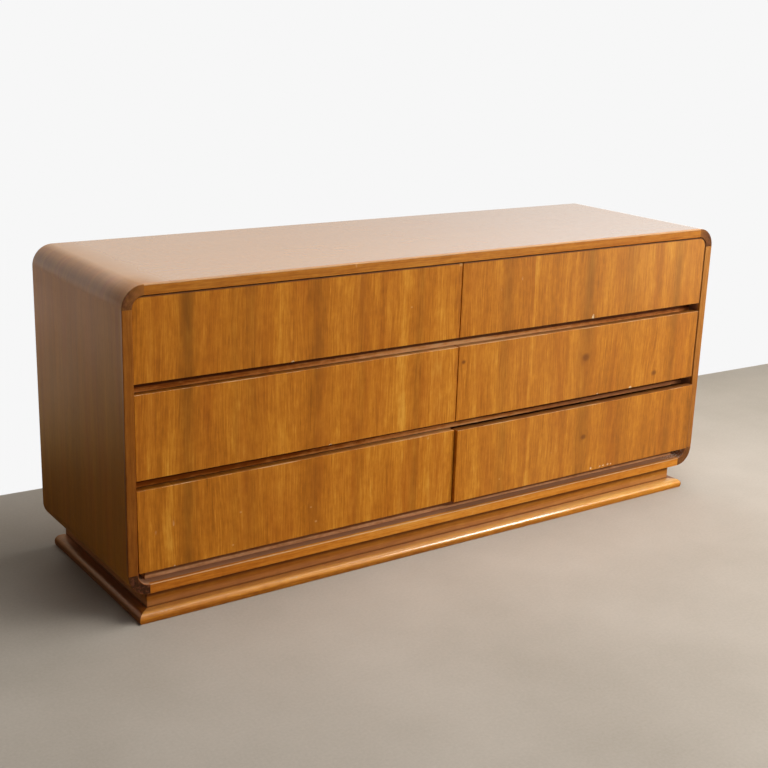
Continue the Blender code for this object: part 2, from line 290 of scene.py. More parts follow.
class Field:
    """A value, colour or place that varies over a surface: one output of a node, open to sums. Most is the
    larger of two."""

    __add__ = __radd__ = reckon("ADD")
    __sub__ = reckon("SUBTRACT")
    __mul__ = reckon("MULTIPLY")
    __truediv__ = reckon("DIVIDE")
    most = reckon("MAXIMUM")

    def __init__(self, shading, socket):
        self.shading = shading
        self.socket = socket

    def __rsub__(self, other):
        return self.shading.math("SUBTRACT", other, self)

    def decay(self):
        """1 where this is 0, falling towards 0 as it grows."""
        return self.shading.math("EXPONENT", self * -1.0)

    def bell(self):
        """1 where this is 0, falling towards 0 on both sides."""
        return (self * self).decay()

    def span(self, low, high, new_low=0.0, new_high=1.0):
        """A soft step from one value to another as this goes from low to high."""
        ends = (low, high, new_low, new_high)
        return self.shading.read("ShaderNodeMapRange", 0, self, *ends, interpolation_type="SMOOTHSTEP")

    def parts(self):
        """The three numbers of a place or a direction."""
        made = self.shading.node("ShaderNodeSeparateXYZ", self)
        return [Field(self.shading, socket) for socket in made.outputs]

    def noise(self, scale, detail=2.0, roughness=0.5):
        """Noise whose cells per metre are scale, a number or one number for each direction."""
        place = self
        if isinstance(scale, tuple):
            place = self.shading.read("ShaderNodeVectorMath", 0, self, scale, operation="MULTIPLY")
            scale = 1.0
        made = self.shading.node("ShaderNodeTexNoise")
        self.shading.fill(made, Vector=place, Scale=scale, Detail=detail, Roughness=roughness)
        return Field(self.shading, made.outputs["Fac"])

    def ramp(self, stops):
        """The colours of the stops, each at its own value of this."""
        made = self.shading.node("ShaderNodeValToRGB", self)
        band = made.color_ramp.elements
        while len(band) < len(stops):
            band.new(0.5)
        for element, (value, colour) in zip(band, stops):
            element.position = value
            element.color = colour
        return Field(self.shading, made.outputs[0])


class Shading:
    """Adds nodes to one tree. An input is a plain value or a Field."""

    def __init__(self, tree):
        self.tree = tree

    def feed(self, socket, value):
        if isinstance(value, Field):
            self.tree.links.new(value.socket, socket)
        else:
            socket.default_value = value

    def fill(self, node, **values):
        """Feed inputs of a node by their names, with _ for each space."""
        for name, value in values.items():
            self.feed(node.inputs[name.replace("_", " ")], value)

    def node(self, kind, *values, **settings):
        """A new node with its settings, fed with values in the order of its inputs."""
        made = self.tree.nodes.new(kind)
        for name, value in settings.items():
            setattr(made, name, value)
        for socket, value in zip(made.inputs, values):
            self.feed(socket, value)
        return made

    def read(self, kind, output, *values, **settings):
        """One output of a new node."""
        return Field(self, self.node(kind, *values, **settings).outputs[output])

    def math(self, operation, *values):
        return self.read("ShaderNodeMath", 0, *values, operation=operation)

    def vector(self, across, along, through):
        return self.read("ShaderNodeCombineXYZ", 0, across, along, through)

    def mix(self, share, first, second, blend="MIX"):
        made = self.node("ShaderNodeMix", data_type="RGBA", blend_type=blend)
        for index, value in ((0, share), (6, first), (7, second)):
            self.feed(made.inputs[index], value)
        return Field(self, made.outputs[2])

    def either(self, share, first, second):
        """One shader, or a share of a second one."""
        return self.read("ShaderNodeMixShader", 0, share, first, second)

    def attribute(self, name, output="Fac"):
        return self.read("ShaderNodeAttribute", output, attribute_name=name)

    def place(self):
        return self.read("ShaderNodeTexCoord", "Object")

    def upward(self):
        """1 on a face that looks up, 0 on an upright one."""
        return self.read("ShaderNodeNewGeometry", "Normal").parts()[2]

    def seen(self, ray):
        """1 where the surface is met by this kind of ray."""
        return self.read("ShaderNodeLightPath", ray)

    def group(self, tree, **values):
        made = self.node("ShaderNodeGroup", node_tree=tree)
        self.fill(made, **values)
        return {socket.name: Field(self, socket) for socket in made.outputs}

    def bump(self, height, strength, distance):
        made = self.node("ShaderNodeBump")
        self.fill(made, Height=height, Strength=strength, Distance=distance)
        return Field(self, made.outputs["Normal"])


def blank_finish(name):
    """A new material, its shading and its shader."""
    material = bpy.data.materials.new(name)
    material.use_nodes = True
    return material, Shading(material.node_tree), material.node_tree.nodes["Principled BSDF"]


def placed(name, data):
    """A new object in the scene."""
    made = bpy.data.objects.new(name, data)
    bpy.context.scene.collection.objects.link(made)
    return made


# Camera, stage and light


def make_camera():
    data = bpy.data.cameras.new("camera")
    data.lens = CAMERA_LENS
    data.sensor_width = CAMERA_SENSOR
    camera = placed("camera", data)
    turn = Matrix.Rotation(CAMERA_AZIMUTH, 4, "Z") @ Matrix.Rotation(math.pi / 2 - CAMERA_ELEVATION, 4, "X")
    camera.matrix_world = Matrix.Translation(CAMERA_PLACE) @ turn @ Matrix.Rotation(CAMERA_ROLL, 4, "Z")
    bpy.context.scene.camera = camera


def make_lamps():
    for name, (place, width, height, watts, reflected) in LAMPS.items():
        data = bpy.data.lights.new(name, "AREA")
        data.shape = "RECTANGLE"
        data.size = width
        data.size_y = height
        data.energy = watts
        lamp = placed(name, data)
        lamp.location = place
        lamp.rotation_euler = (Vector(LAMP_TARGET) - Vector(place)).to_track_quat("-Z", "Y").to_euler()
        lamp.visible_glossy = reflected


def make_world():
    """Soft light from all round; the camera sees plain white instead, and reflections a dim room."""
    world = bpy.data.worlds.new("studio")
    bpy.context.scene.world = world
    world.use_nodes = True
    world.node_tree.nodes.clear()
    shading = Shading(world.node_tree)
    rise = shading.read("ShaderNodeTexCoord", "Generated").parts()[2]
    room = shading.mix(rise.span(-0.10, 0.10), ROOM_BELOW, ROOM)
    light = shading.read("ShaderNodeBackground", 0, AMBIENT_TINT, AMBIENT)
    for ray, colour in (("Is Glossy Ray", room), ("Is Camera Ray", (WHITE, WHITE, WHITE, 1.0))):
        light = shading.either(shading.seen(ray), light, shading.read("ShaderNodeBackground", 0, colour))
    shading.node("ShaderNodeOutputWorld", light)


def sheet(name, corners, material):
    """A flat piece of the stage."""
    mesh = bpy.data.meshes.new(name)
    mesh.from_pydata(corners, [], [tuple(range(len(corners)))])
    mesh.materials.append(material)
    piece = placed(name, mesh)
    return piece


def floor_material():
    """Pale sealed concrete, faintly clouded, that stays pale to the camera beyond the reach of the lamps."""
    material, shading, shader = blank_finish("pale_floor")
    place = shading.place()
    grit = place.noise(160.0, 3.0, 0.6)
    tone = place.noise(1.4, 5.0, 0.6) * 0.75 + grit * 0.25
    off = shading.read("ShaderNodeVectorMath", "Value", place, operation="LENGTH")
    far = off.span(FLOOR_NEAR, FLOOR_FAR) * shading.seen("Is Camera Ray")
    shading.fill(
        shader,
        Base_Color=tone.ramp(FLOOR_TONES),
        Emission_Color=shading.mix(far, BLACK, FLOOR_GLOW),
        Emission_Strength=1.0,
        Roughness=0.85,
        Specular_IOR_Level=0.15,
        Normal=shading.bump(grit, 0.15, 0.001),
    )
    return material


def wall_material():
    """White to the camera, clear from behind, and in reflections shaded by height and brighter at right."""
    material = bpy.data.materials.new("white_wall")
    material.use_nodes = True
    material.node_tree.nodes.clear()
    shading = Shading(material.node_tree)
    across, _, up = shading.place().parts()
    shade = (up / SHADES_TOP).ramp([(height / SHADES_TOP, colour) for height, colour in WALL_SHADES])
    side_light = across.span(-0.2, 1.4, 0.97, 1.38)
    shade = shading.mix(1.0, shade, shading.vector(side_light, side_light, side_light), "MULTIPLY")
    plain = WHITE / WALL_GLOW
    colour = shading.mix(shading.seen("Is Camera Ray"), shade, (plain, plain, plain, 1.0))
    white = shading.read("ShaderNodeEmission", 0, colour, WALL_GLOW)
    clear = shading.read("ShaderNodeBsdfTransparent", 0)
    behind = shading.read("ShaderNodeNewGeometry", "Backfacing")
    shading.node("ShaderNodeOutputMaterial", shading.either(behind, white, clear))
    return material


def make_stage():
    half = FLOOR_HALF
    corners = [(-half, -half, 0), (half, -half, 0), (half, half, 0), (-half, half, 0)]
    floor = sheet("floor", corners, floor_material())
    floor.visible_glossy = False
    half = WALL_HALF
    corners = [(-half, 0, 0), (half, 0, 0), (half, 0, WALL_HEIGHT), (-half, 0, WALL_HEIGHT)]
    wall = sheet("wall", corners, wall_material())
    wall.location = WALL_PLACE
    wall.rotation_euler = (0, 0, WALL_TURN)
    wall.visible_diffuse = False
    wall.visible_shadow = False


# Effects that more than one finish uses


def new_group(name, inputs, outputs):
    """A new shader group: its tree, shading, inputs by name, and the node that takes its outputs."""
    tree = bpy.data.node_groups.new(name, "ShaderNodeTree")
    for way, labels in (("INPUT", inputs), ("OUTPUT", outputs)):
        for label in labels:
            kind = "NodeSocketVector" if label in ("Grain", "Bent Grain", "Place") else "NodeSocketFloat"
            tree.interface.new_socket(label, in_out=way, socket_type=kind)
    shading = Shading(tree)
    entry = {socket.name: Field(shading, socket) for socket in shading.node("NodeGroupInput").outputs}
    return tree, shading, entry, shading.node("NodeGroupOutput")


def grain_group():
    """Streaks, growth lines, pores and ribbon of wood; Grain runs across, along and through it in metres."""
    tree, shading, entry, leave = new_group(
        "wood_grain",
        ("Grain", "Lean", "Streaks per Metre"),
        ("Streaks", "Lines", "Fibres", "Pores", "Ribbon"),
    )
    grain = entry["Grain"]
    across, along, through = grain.parts()
    drift = grain.noise((3.0, 1.3, 3.0), 1.0) - 0.5
    ripple = grain.noise((22.0, 7.0, 22.0)) - 0.5
    bent = across + drift * entry["Lean"] + ripple * 0.0032
    line = shading.vector(bent, along, through)
    wide = shading.vector(bent * entry["Streaks per Metre"], along, through)
    shading.fill(
        leave,
        Streaks=wide.noise((1.0, 0.55, 3.0), 3.0, 0.6),
        Lines=line.noise((32.0, 0.9, 32.0), 7.0, 0.74),
        Fibres=line.noise((300.0, 13.0, 300.0), 4.0, 0.7),
        Pores=line.noise((1150.0, 42.0, 1150.0), 1.0).span(0.60, 0.72),
        Ribbon=line.noise((70.0, 40.0, 70.0), 4.0, 0.62),
    )
    return tree


def wear_group():
    """Where an edge is rubbed through its finish: Edge is 1 on the edge and fades to 0 beside it."""
    tree, shading, entry, leave = new_group("edge_wear", ("Place", "Edge", "Amount"), ("Rubbed",))
    place = entry["Place"]
    patchy = place.noise(9.0, 3.0, 0.6) * 0.65 + place.noise(260.0, 3.0, 0.65) * 0.35
    least = 1.42 - entry["Amount"] * 0.62
    shading.fill(leave, Rubbed=(entry["Edge"] * 0.62 + patchy).span(least, least + 0.16))
    return tree


def marks_group():
    """Fine scratches, small dents and hazy patches of a finish that has been used."""
    tree, shading, entry, leave = new_group("use_marks", ("Place",), ("Haze", "Scratches", "Dents"))
    place = entry["Place"]
    flow = place.noise((55.0, 420.0, 24.0), 1.0, 0.4)
    sparse = place.noise(11.0).span(0.60, 0.70)
    cells = shading.node("ShaderNodeTexVoronoi", feature="F1")
    shading.fill(cells, Vector=place, Scale=20.0)
    shading.fill(
        leave,
        Haze=place.noise(5.0, 4.0, 0.6),
        Scratches=flow.span(0.735, 0.76) * sparse,
        Dents=Field(shading, cells.outputs["Distance"]).span(0.020, 0.034, 1.0, 0.0),
    )
    return tree


def knot_group():
    """A knot: how dark it is, and the grain bent round it. Grain runs across and along."""
    tree, shading, entry, leave = new_group(
        "knot", ("Grain", "Across", "Along", "Radius"), ("Core", "Bent Grain")
    )
    across, along, through = entry["Grain"].parts()
    aside = across - entry["Across"]
    wide = aside / entry["Radius"]
    high = (along - entry["Along"]) / entry["Radius"]
    wide_square = wide * wide
    high_square = high * high
    near = (wide_square * 0.10 + high_square * 0.012).decay()
    bent = shading.vector(across + aside * near * -0.75, along, through)
    shading.fill(leave, Core=(wide_square * 0.65 + high_square).bell(), Bent_Grain=bent)
    return tree


def streak_group():
    """One broad streak that runs with the grain."""
    tree, shading, entry, leave = new_group("streak", ("Grain", "Across", "Half Width"), ("Streak",))
    wander = entry["Grain"].noise((2.5, 3.5, 0.0)) - 0.5
    moved = entry["Grain"].parts()[0] + wander * 0.014
    shading.fill(leave, Streak=((moved - entry["Across"]) / entry["Half Width"]).bell())
    return tree


GRAIN_GROUP = grain_group()
WEAR_GROUP = wear_group()
MARKS_GROUP = marks_group()
KNOT_GROUP = knot_group()
STREAK_GROUP = streak_group()


# Finishes


def case_looks(shading, place, grain, colour):
    """The case is bleached and glossy on top, less so at its left end, and its top is greyer towards the
    right, painted to stand in for the stronger sheen there; inside it is greyed with dust and a painted
    reflection, with pale scuffs in the lower right corner. Gives its colour, where its coat lies and where
    the bleach and painted sheen lie."""
    inside = grain.parts()[2].span(0.002, 0.018)
    upward = shading.upward()
    x, y, z = place.parts()
    outside = (1.0 - inside) * x.span(-0.77, -0.68, y.span(-0.23, -0.12, 0.2, 0.65), 1.0)
    # Top faces: bleaching, with a tone greyed to the right as painted sheen
    bleach_and_sheen = upward.span(0.88, 1.0) * outside
    colour = shading.mix(bleach_and_sheen * 0.7, colour, shading.mix(x.span(-0.7, 0.7), *BLEACH_AND_SHEEN_TONES))
    # Inside faces: dust and a painted reflection
    colour = shading.mix(inside * 0.85, colour, INSIDE_DUST_AND_REFLECTION)
    scuffed = x.span(0.70, 0.73) * z.span(0.12, 0.14, 1.0, 0.0) * inside
    flecks = place.noise(240.0, 3.0, 0.6).span(0.54, 0.60)
    colour = shading.mix(scuffed * flecks * 0.8, colour, SCUFFED)
    return colour, upward.span(0.0, 0.5) * outside, bleach_and_sheen


def wood_finish(
    name, tones, blush=BLUSH, grain=None, lean=0.03, streaks=26.0, depth=(0.5, 0.5, 0.4, 0.5), roughness=0.40,
    specular=0.5, polish=None, gloss=0.18, coat_index=1.5, wear=0.45, case=False, figure=None,
):
    """A lacquered wood. Tones run from dark to light, blush is a redder tone in patches, and depth is how
    strong streaks, lines, ribbon and fibres show. Grain names the axes that run across, along and through
    the wood, where the piece doesn't store its own. Polish gives where a gloss coat lies, case is for the
    veneer of the case, and figure adds what is particular to a piece."""
    material, shading, shader = blank_finish(name)
    place = shading.place()
    if grain is None:
        grain = shading.attribute("grain", "Vector")
    else:
        ways = dict(zip("xyz", place.parts()))
        grain = shading.vector(*(ways.get(axis, 0.0) for axis in grain))
    middle, overlays = 0.5, ()
    if figure:
        grain, middle, overlays = figure(shading, grain)
    wood = shading.group(GRAIN_GROUP, Grain=grain, Lean=lean, Streaks_per_Metre=streaks)
    tone = middle - wood["Pores"] * 0.10
    for part, strength in zip(("Streaks", "Lines", "Ribbon", "Fibres"), depth):
        tone = tone + (wood[part] - 0.5) * strength
    last = len(tones) - 1
    colour = tone.ramp([(0.12 + 0.76 * index / last, srgb(*shade)) for index, shade in enumerate(tones)])
    flush = grain.noise((17.0, 1.8, 17.0), 4.0, 0.6).span(0.46, 0.66)
    colour = shading.mix(flush * 0.28, colour, srgb(*blush))
    for mask, tint in overlays:
        colour = shading.mix(mask, colour, tint)

    dull = roughness - 0.06
    if case:
        colour, coat, bleach_and_sheen = case_looks(shading, place, grain, colour)
        shading.fill(shader, Coat_Weight=coat)
        dull = dull - bleach_and_sheen * 0.20
    elif polish:
        shading.fill(shader, Coat_Weight=polish(place))
    rubbed = shading.group(WEAR_GROUP, Place=place, Edge=shading.attribute("edge"), Amount=wear)["Rubbed"]
    colour = shading.mix(rubbed * 0.85, colour, shading.mix(wood["Fibres"], *RUBBED))
    marks = shading.group(MARKS_GROUP, Place=place)
    colour = shading.mix(marks["Scratches"] * (0.35 if wear else 0.0), colour, SCRATCHED)
    colour = shading.mix(marks["Dents"] * 0.18, colour, DENTED)
    height = wood["Lines"] * 0.35 + wood["Fibres"] * 0.25 - wood["Pores"] * 0.55 - marks["Dents"] * 1.2
    shading.fill(
        shader,
        Base_Color=colour,
        Roughness=dull + marks["Haze"] * 0.12 + rubbed * 0.22 + wood["Pores"] * 0.12,
        Normal=shading.bump(height, 0.22, 0.0004),
        Specular_IOR_Level=specular,
        Coat_Roughness=gloss,
        Coat_IOR=coat_index,
    )
    return material


def front_corner():
    """The radius of the fronts' outer upper corners: that inside the case's corners, less the reveal."""
    corner_low, corner_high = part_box("top_left_corner")
    panel_low, panel_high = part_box("left_side_panel")
    inner_radius = corner_high.x - corner_low.x - (panel_high.x - panel_low.x)
    return inner_radius - (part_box("top_left_drawer_front")[0].x - panel_high.x)


def front_rim(shading, across, along):
    """Painted shade on the fronts along the upper edge of the top row and down its right end, in the reveal
    under the band.
    """
    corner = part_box("top_right_drawer_front")[1]
    radius = front_corner()
    out = (across - (corner.x - radius)).most(0.0)
    up = (along - (corner.z - radius)).most(0.0)
    rim = shading.math("SQRT", out * out + up * up)
    return rim.span(radius - 0.0032, radius - 0.0010, 0.0, 0.88)


def front_figure(shading, grain):
    """The streaks, knots and specks of the fronts. The streaks run through all three rows, most clearly in
    the top one. The lower rows are paler in the middle, and a painted sheen lies towards the right, most at
    the top row's right end. The upper faces are darker, with soil and painted shade, and paler in the middle
    with dust and painted light."""
    knots = 0.0
    for across, along, radius in KNOTS:
        knot = shading.group(KNOT_GROUP, Grain=grain, Across=across, Along=along, Radius=radius)
        grain = knot["Bent Grain"]
        knots = knot["Core"].most(knots)
    dark, light = 0.0, 0.0
    for across, half_width, strength in STREAKS:
        streak = shading.group(STREAK_GROUP, Grain=grain, Across=across, Half_Width=half_width)["Streak"]
        if strength > 0:
            dark = dark + streak * strength
        else:
            light = light + streak * -strength
    specks = 0.0
    for across, along, radius in SPECKS:
        speck = shading.group(KNOT_GROUP, Grain=grain, Across=across, Along=along, Radius=radius)
        specks = speck["Core"].most(specks)

    across, along, _ = grain.parts()
    top_row = along.span(0.46, 0.52)
    clear = grain.noise((30.0, 7.0, 0.0), 4.0, 0.6).span(0.30, 0.65, 0.4, 1.2) * (top_row * 0.24 + 0.76)
    cloud = grain.noise((15.0, 5.0, 0.0), 3.0, 0.6) - 0.5
    central = ((across - 0.05) / 0.35).bell()
    right = across.span(0.2, 0.7)
    light = light * clear * 0.24 + cloud * 0.44 + central * (1.0 - top_row) * 0.07
    light = light + right * along.span(0.2, 0.6, -0.05, 0.07)
    # Painted sheen towards the right, most at the top row's right end
    painted_sheen = right * along.span(0.4, 0.6, 0.0, 0.08) + across.span(-0.1, 0.3, 0.0, 0.06)
    upward = shading.upward().span(0.90, 0.99)
    ajar = across.span(-0.01, 0.01) * along.span(0.29, 0.30, 1.0, 0.0)
    # Darker upper faces, most on the ajar front: soil and painted shade
    soil_and_shade = upward * central.span(0.0, 1.0, 0.35, 0.0).most(ajar * 0.7)
    # Paler upper faces in the middle: dust and painted light
    dust_and_light = upward * central * ajar.span(0.0, 1.0, 0.4, 0.0)
    return grain, light + 0.5, (
        (dark * clear * 0.60, DARK_STREAK),
        (knots * 0.75, KNOT_HEART),
        (painted_sheen, FRONT_PAINTED_SHEEN),
        (dust_and_light, FRONT_DUST_AND_LIGHT),
        (soil_and_shade.most(front_rim(shading, across, along)), FRONT_SOIL_AND_SHADE),
        (specks * 0.5, SPECK_LIGHT),
    )


def rail_figure(shading, grain):
    """The rails are paler towards the middle of the dresser and higher up, and paler at their feet, where
    painted light makes up for the light that the front below keeps off. They carry dust and a painted sheen
    at the right, and painted shade in their upper halves under the fronts above."""
    up, along, _ = grain.parts()
    level = shading.attribute("level")
    light = ((along / 0.36).bell() - 0.45) * 0.58
    # The paler feet are painted light, where the front below shades the rail
    light = light + up.span(0.30, 0.47, -0.12, 0.08) + level.span(0.05, 0.22, 0.20, 0.0)
    # Paler at the right: dust and a painted sheen
    dust_and_light = along.span(0.1, 0.5) * up.span(0.30, 0.47, 0.34, 0.10)
    # Darker under the front above, reaching lower at the right: painted shade
    painted_shade = (level + along.span(-0.1, 0.25, 0.0, 0.05)).span(0.31, 0.41, 0.0, 0.88)
    return grain, light + 0.37, ((dust_and_light, RAIL_DUST_AND_SHEEN), (painted_shade, RAIL_PAINTED_SHADE))


def bottom_rail_figure(shading, grain):
    """The bottom rail is darkened with painted shade above its foot, under the fronts, and lower down at the
    right, where the front is ajar.
    """
    forward = grain.parts()[1].span(-0.01, 0.01, 0.0, 0.10)
    # Painted shade cast by the fronts' lower edges
    painted_shade = (shading.attribute("level") + forward).span(0.24, 0.34, 0.0, 0.8)
    return grain, 0.5, ((painted_shade, BOTTOM_RAIL_PAINTED_SHADE),)


def plinth_figure(shading, grain):
    """The plinth is paler towards its right end, darkened with painted shade close under the case and in the
    crease along the moulding, and paler between them with dust and a painted reflection of the moulding."""
    level = shading.attribute("level")
    # Painted shade under the overhang of the case and in the crease at the moulding
    painted_shade = level.span(0.64, 0.76, 0.0, 0.68) + level.span(0.36, 0.40, 0.5, 0.0)
    # Paler in its lower part: dust and a painted reflection of the moulding
    dust_and_light = level.span(0.45, 0.62, 0.28, 0.0)
    return grain, grain.parts()[1].span(-0.6, 0.1, 0.55, 0.65), ((dust_and_light, PLINTH_DUST_AND_REFLECTION), (painted_shade, PLINTH_PAINTED_SHADE))


def lip_figure(start, end, reach):
    """Painted light: wood that goes from one tone at the left or lower end of a lipping to a lighter one at a
    reach from it.
    """
    return lambda shading, grain: (grain, grain.parts()[1].span(0.1, reach, start, end), ())


def moulding_figure(shading, grain):
    """The front moulding is paler towards its right end. Its crown is painted lighter and its foot darker, as
    painted light and shade from above, and the crown carries dust and a painted sheen.
    """
    up, along, _ = grain.parts()
    # The crown's pale overlay is dust and a painted sheen
    dust_and_light = up.span(0.014, 0.021) * along.span(-0.6, 0.0, 0.2, 0.26)
    # Painted light and shade: lighter on the crown, darker towards the foot
    tone = along.span(-0.7, 0.5, 0.46, 0.63) + up.span(0.006, 0.018, -0.18, 0.10)
    return grain, tone, ((dust_and_light, MOULDING_DUST_AND_SHEEN),)


def nose_polish(place):
    """The front moulding shines most along its middle."""
    across = place.parts()[0]
    return across.span(-0.45, -0.02, 0.12, 1.0) * across.span(0.24, 0.44, 1.0, 0.15)


def end_grain_finish():
    """The dark sawn end of a corner block, with rings and open pores. The lower left one is the darkest, and
    the upper ones are golden towards the middle of the dresser."""
    material, shading, shader = blank_finish("corner_end_grain")
    place = shading.place()
    x, _, z = place.parts()
    ring = shading.math("SQRT", x * x + z * z) + (place.noise(40.0) - 0.5) * 0.012
    rings = shading.vector(ring * 520.0, 0.0, 0.0).noise(1.0, 3.0, 0.6)
    blotch = place.noise(70.0, 3.0, 0.6)
    pores = place.noise(900.0, 1.0).span(0.58, 0.70)
    low = z.span(0.2, 0.6, 1.0, 0.0)
    tone = rings * 0.45 + blotch * 0.55 - pores * 0.12
    tone = tone + x.span(-0.7, 0.7, 0.05, 0.0) + low * x.span(-0.7, 0.7, -0.20, 0.10)
    colour = tone.ramp(END_TONES)
    ruddy = place.noise(150.0, 3.0, 0.6).span(0.46, 0.64, 0.0, 0.35)
    colour = shading.mix(ruddy, colour, END_BLUSH)
    level = shading.attribute("level")
    golden = level * level * x.span(-0.7, 0.7, 0.85, 0.65) * z.span(0.2, 0.6)
    colour = shading.mix(golden, colour, END_GOLD)
    edge = shading.attribute("edge")
    worn = low.span(0.0, 1.0, 0.4, 0.75)
    rubbed = shading.group(WEAR_GROUP, Place=place, Edge=edge, Amount=worn)["Rubbed"]
    shading.fill(
        shader,
        Base_Color=shading.mix(rubbed * 0.55, colour, END_RUBBED),
        Roughness=blotch * 0.14 + 0.42,
        Normal=shading.bump(rings - pores, 0.2, 0.0004),
        Specular_IOR_Level=0.15,
    )
    return material


def bare_finish():
    """Wood laid bare by a chip."""
    material, shading, shader = blank_finish("bare_wood")
    fibres = shading.place().noise((900.0, 900.0, 60.0), 3.0, 0.6)
    rough = shading.bump(fibres, 0.4, 0.0006)
    shading.fill(shader, Base_Color=fibres.ramp(BARE_TONES), Roughness=0.8, Normal=rough)
    return material


def board_finish(name, tones, grain, roughness):
    """A plain sealed or unfinished board inside the case."""
    return wood_finish(name, tones, blush=tones[1], grain=grain, streaks=16.0, roughness=roughness, wear=0.0)


def make_finishes():
    solid = {"lean": 0.01, "streaks": 60.0}
    edging = {**solid, "depth": (0.4, 0.7, 0.3, 0.6), "specular": 0.2}
    railing = {**solid, "depth": (0.4, 0.6, 0.7, 0.6), "specular": 0.1}
    finishes = {
        "case": wood_finish(
            "case_veneer", VENEER, lean=0.02, streaks=16.0, depth=(0.4, 0.38, 0.06, 0.28), roughness=0.46,
            specular=0.12, wear=0.30, case=True,
        ),
        "front": wood_finish(
            "front_veneer", FRONT, grain="xz0", lean=0.05, streaks=14.0, depth=(0.20, 0.80, 0.36, 0.85),
            specular=0.18, wear=0.62, figure=front_figure,
        ),
        "plinth": wood_finish("plinth_wood", PLINTH, wear=0.3, figure=plinth_figure, **edging),
        "moulding": wood_finish(
            "moulding_wood", MOULDING, polish=nose_polish, gloss=0.16, coat_index=1.85, wear=0.5,
            figure=moulding_figure, **edging,
        ),
        # The side mouldings' darker tones are painted shade
        "side_moulding": wood_finish("side_moulding_wood", SHADED_EDGING, wear=0.3, **edging),
        "rail": wood_finish("rail_wood", RAIL, blush=RAIL_BLUSH, wear=0.4, figure=rail_figure, **railing),
        "bottom_rail": wood_finish(
            "bottom_rail_wood", BOTTOM_RAIL, wear=0.2, figure=bottom_rail_figure, **railing
        ),
        "end": end_grain_finish(),
        "bare": bare_finish(),
        "box_y": board_finish("drawer_side_wood", BOX, "xyz", 0.55),
        "box_x": board_finish("drawer_back_wood", BOX, "yxz", 0.55),
        "inner_x": board_finish("bottom_board", INNER, "yxz", 0.6),
        "inner_z": board_finish("upright_board", INNER, "xzy", 0.6),
    }
    for name, (tones, wear, slope, _) in LIPPINGS.items():
        label = f"{name.split('_')[0]}_lipping"
        finishes[f"{name}_lip"] = wood_finish(label, tones, wear=wear, figure=lip_figure(*slope), **edging)
    return finishes


# Ways that the grain runs: across, along and through a board


def lengthways(point):
    return (point.z, point.x, point.y)


def front_to_back(point):
    return (point.z, point.y, point.x)


def upright(point):
    return (point.x, point.z, 0.0)


# Pieces


def loft(name, rings, edges, grain, materials, choose=None):
    """A closed piece skinned over rings of points, with its wear and its grain stored on its points. Edges
    holds how worn each point may be, ring by ring; grain gives a point's (across, along, through); choose
    gives a face's material from its normal."""
    count = len(rings[0])
    points = [Vector(point) for ring in rings for point in ring]
    faces = []
    for ring in range(len(rings) - 1):
        for index in range(count):
            after = (index + 1) % count
            start, end = ring * count, (ring + 1) * count
            faces.append((start + index, start + after, end + after, end + index))
    faces.append(tuple(reversed(range(count))))
    faces.append(tuple(range((len(rings) - 1) * count, len(rings) * count)))
    mesh = bpy.data.meshes.new(name)
    mesh.from_pydata(points, [], faces)
    shape = bmesh.new()
    shape.from_mesh(mesh)
    bmesh.ops.recalc_face_normals(shape, faces=shape.faces)
    shape.to_mesh(mesh)
    shape.free()
    for material in materials:
        mesh.materials.append(material)
    if choose:
        for face in mesh.polygons:
            face.material_index = choose(face.normal)
    worn = mesh.attributes.new("edge", "FLOAT", "POINT")
    worn.data.foreach_set("value", [value for ring in edges for value in ring])
    run = mesh.attributes.new("grain", "FLOAT_VECTOR", "POINT")
    run.data.foreach_set("vector", [value for point in points for value in grain(point)])
    mesh.shade_smooth()
    mesh.set_sharp_from_angle(angle=SHARP_TURN)
    return placed(name, mesh)


def settle(piece, node, body):
    """Let a piece stand for its node, with even shading, and ride on its body."""
    soften = piece.modifiers.new("even_shading", "WEIGHTED_NORMAL")
    soften.keep_sharp = True
    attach(piece, body)
    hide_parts(node)


def store_level(piece, levels):
    """Keep a share from 0 to 1 for each point of a piece."""
    stored = piece.data.attributes.new("level", "FLOAT", "POINT")
    stored.data.foreach_set("value", levels)


def arc(centre, radius, start, end, steps):
    """Points round a centre, from one angle in degrees to another."""
    points = []
    for step in range(steps + 1):
        angle = math.radians(start + (end - start) * step / steps)
        points.append((centre[0] + radius * math.cos(angle), centre[1] + radius * math.sin(angle)))
    return points


def eased(radius):
    """Points round an eased edge between two faces: how far each is from the second and from the first."""
    angles = [math.pi / 2 * step / EASE_STEPS for step in range(EASE_STEPS + 1)]
    return [(radius * (1 - math.sin(angle)), radius * (1 - math.cos(angle))) for angle in angles]


def rounded_outline(low, high, radii, inset):
    """A box's (x, z) outline drawn in by inset, with a radius for each corner from the lower left round."""
    corners = (
        (low.x, low.z, 180, 1, 1),
        (high.x, low.z, 270, -1, 1),
        (high.x, high.z, 0, -1, -1),
        (low.x, high.z, 90, 1, -1),
    )
    points = []
    for (x, z, start, inward_x, inward_z), radius in zip(corners, radii):
        centre = (x + inward_x * radius, z + inward_z * radius)
        steps = CORNER_STEPS if radius > ROUND_CORNER else SQUARE_STEPS
        shrunk = radius - inset
        if shrunk < LEAST_CORNER:
            centre = (x + inward_x * (inset + LEAST_CORNER), z + inward_z * (inset + LEAST_CORNER))
            shrunk = LEAST_CORNER
        points += arc(centre, shrunk, start, start + 90, steps)
    return points


